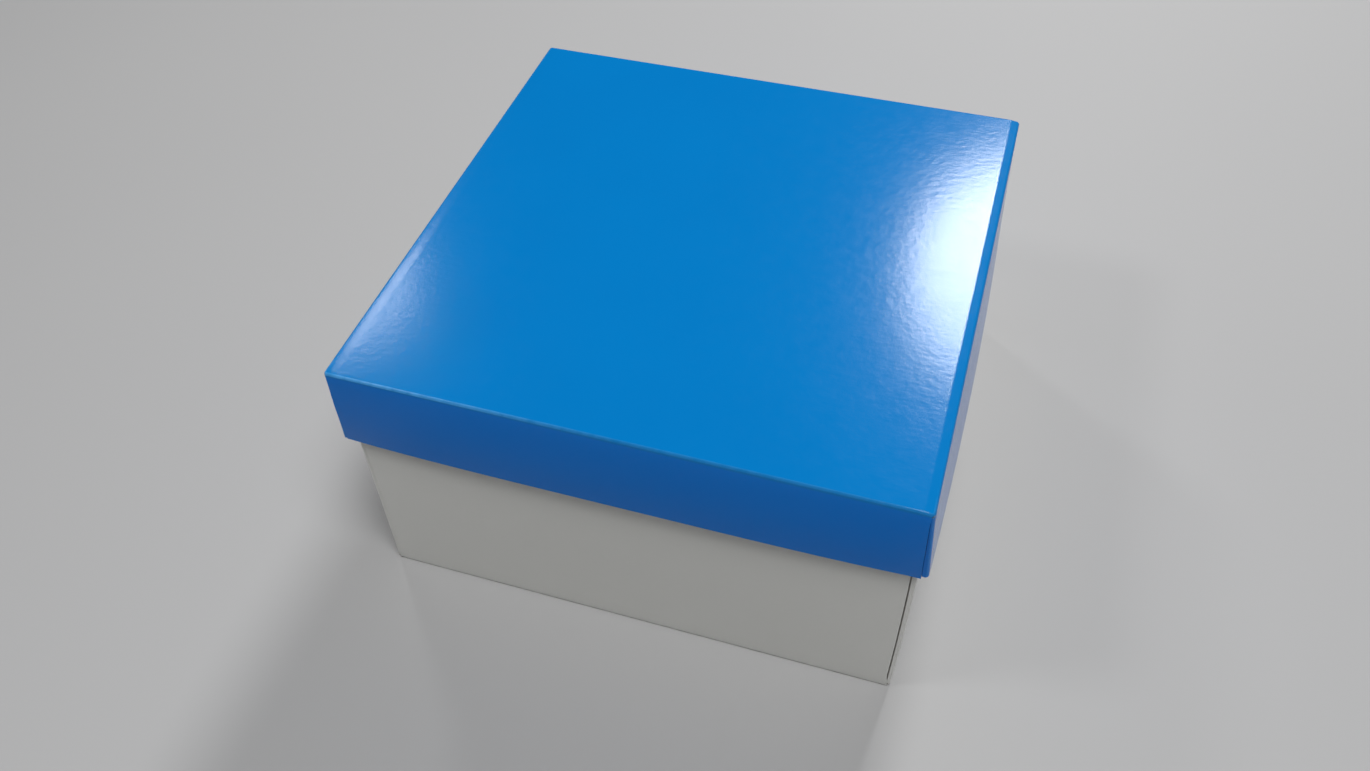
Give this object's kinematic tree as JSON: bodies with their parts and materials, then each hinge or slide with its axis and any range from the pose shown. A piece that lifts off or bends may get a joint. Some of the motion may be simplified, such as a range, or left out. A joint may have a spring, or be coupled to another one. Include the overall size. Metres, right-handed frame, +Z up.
{
  "type": "cryogenic storage box",
  "caption": "Square cardboard freezer box for cryogenic tubes, with a gloss blue lid that telescopes over a white tray and a lift-out grid divider of slotted strips.",
  "frame": {"origin": "centre of the tray's underside, on the surface the box stands on", "axes": "+Z up, the way the lid and the divider lift; X runs between the two walls that carry the glue flaps, Y between the two walls that are glued over them; -Y is the front"},
  "size_m": [0.133, 0.133, 0.072],
  "materials": {
    "blue_board": "gloss laminated blue outside, plain white inside",
    "white_board": "satin white coated board",
    "strip_board": "matte white board with raw cut edges",
    "dried_glue": "dried glue film"
  },
  "bodies": {
    "tray": {"base_tray": "white_board", "tray_glue_front_left": "dried_glue", "tray_glue_front_right": "dried_glue", "tray_glue_back_left": "dried_glue", "tray_glue_back_right": "dried_glue"},
    "divider": {"lengthwise_strip_1": "strip_board", "lengthwise_strip_2": "strip_board", "lengthwise_strip_3": "strip_board", "lengthwise_strip_4": "strip_board", "lengthwise_strip_5": "strip_board", "lengthwise_strip_6": "strip_board", "lengthwise_strip_7": "strip_board", "lengthwise_strip_8": "strip_board", "crosswise_strip_1": "strip_board", "crosswise_strip_2": "strip_board", "crosswise_strip_3": "strip_board", "crosswise_strip_4": "strip_board", "crosswise_strip_5": "strip_board", "crosswise_strip_6": "strip_board", "crosswise_strip_7": "strip_board", "crosswise_strip_8": "strip_board"},
    "lid": {"lid": "blue_board", "lid_glue_front_left": "dried_glue", "lid_glue_front_right": "dried_glue", "lid_glue_back_left": "dried_glue", "lid_glue_back_right": "dried_glue"}
  },
  "joints": [
    {"name": "divider_lift", "type": "slide", "parent": "tray", "child": "divider", "axis": [0, 0, 1], "range_m": [0, 0.08]},
    {"name": "lid_lift", "type": "slide", "parent": "divider", "child": "lid", "axis": [0, 0, 1], "range_m": [0, 0.06]}
  ]
}
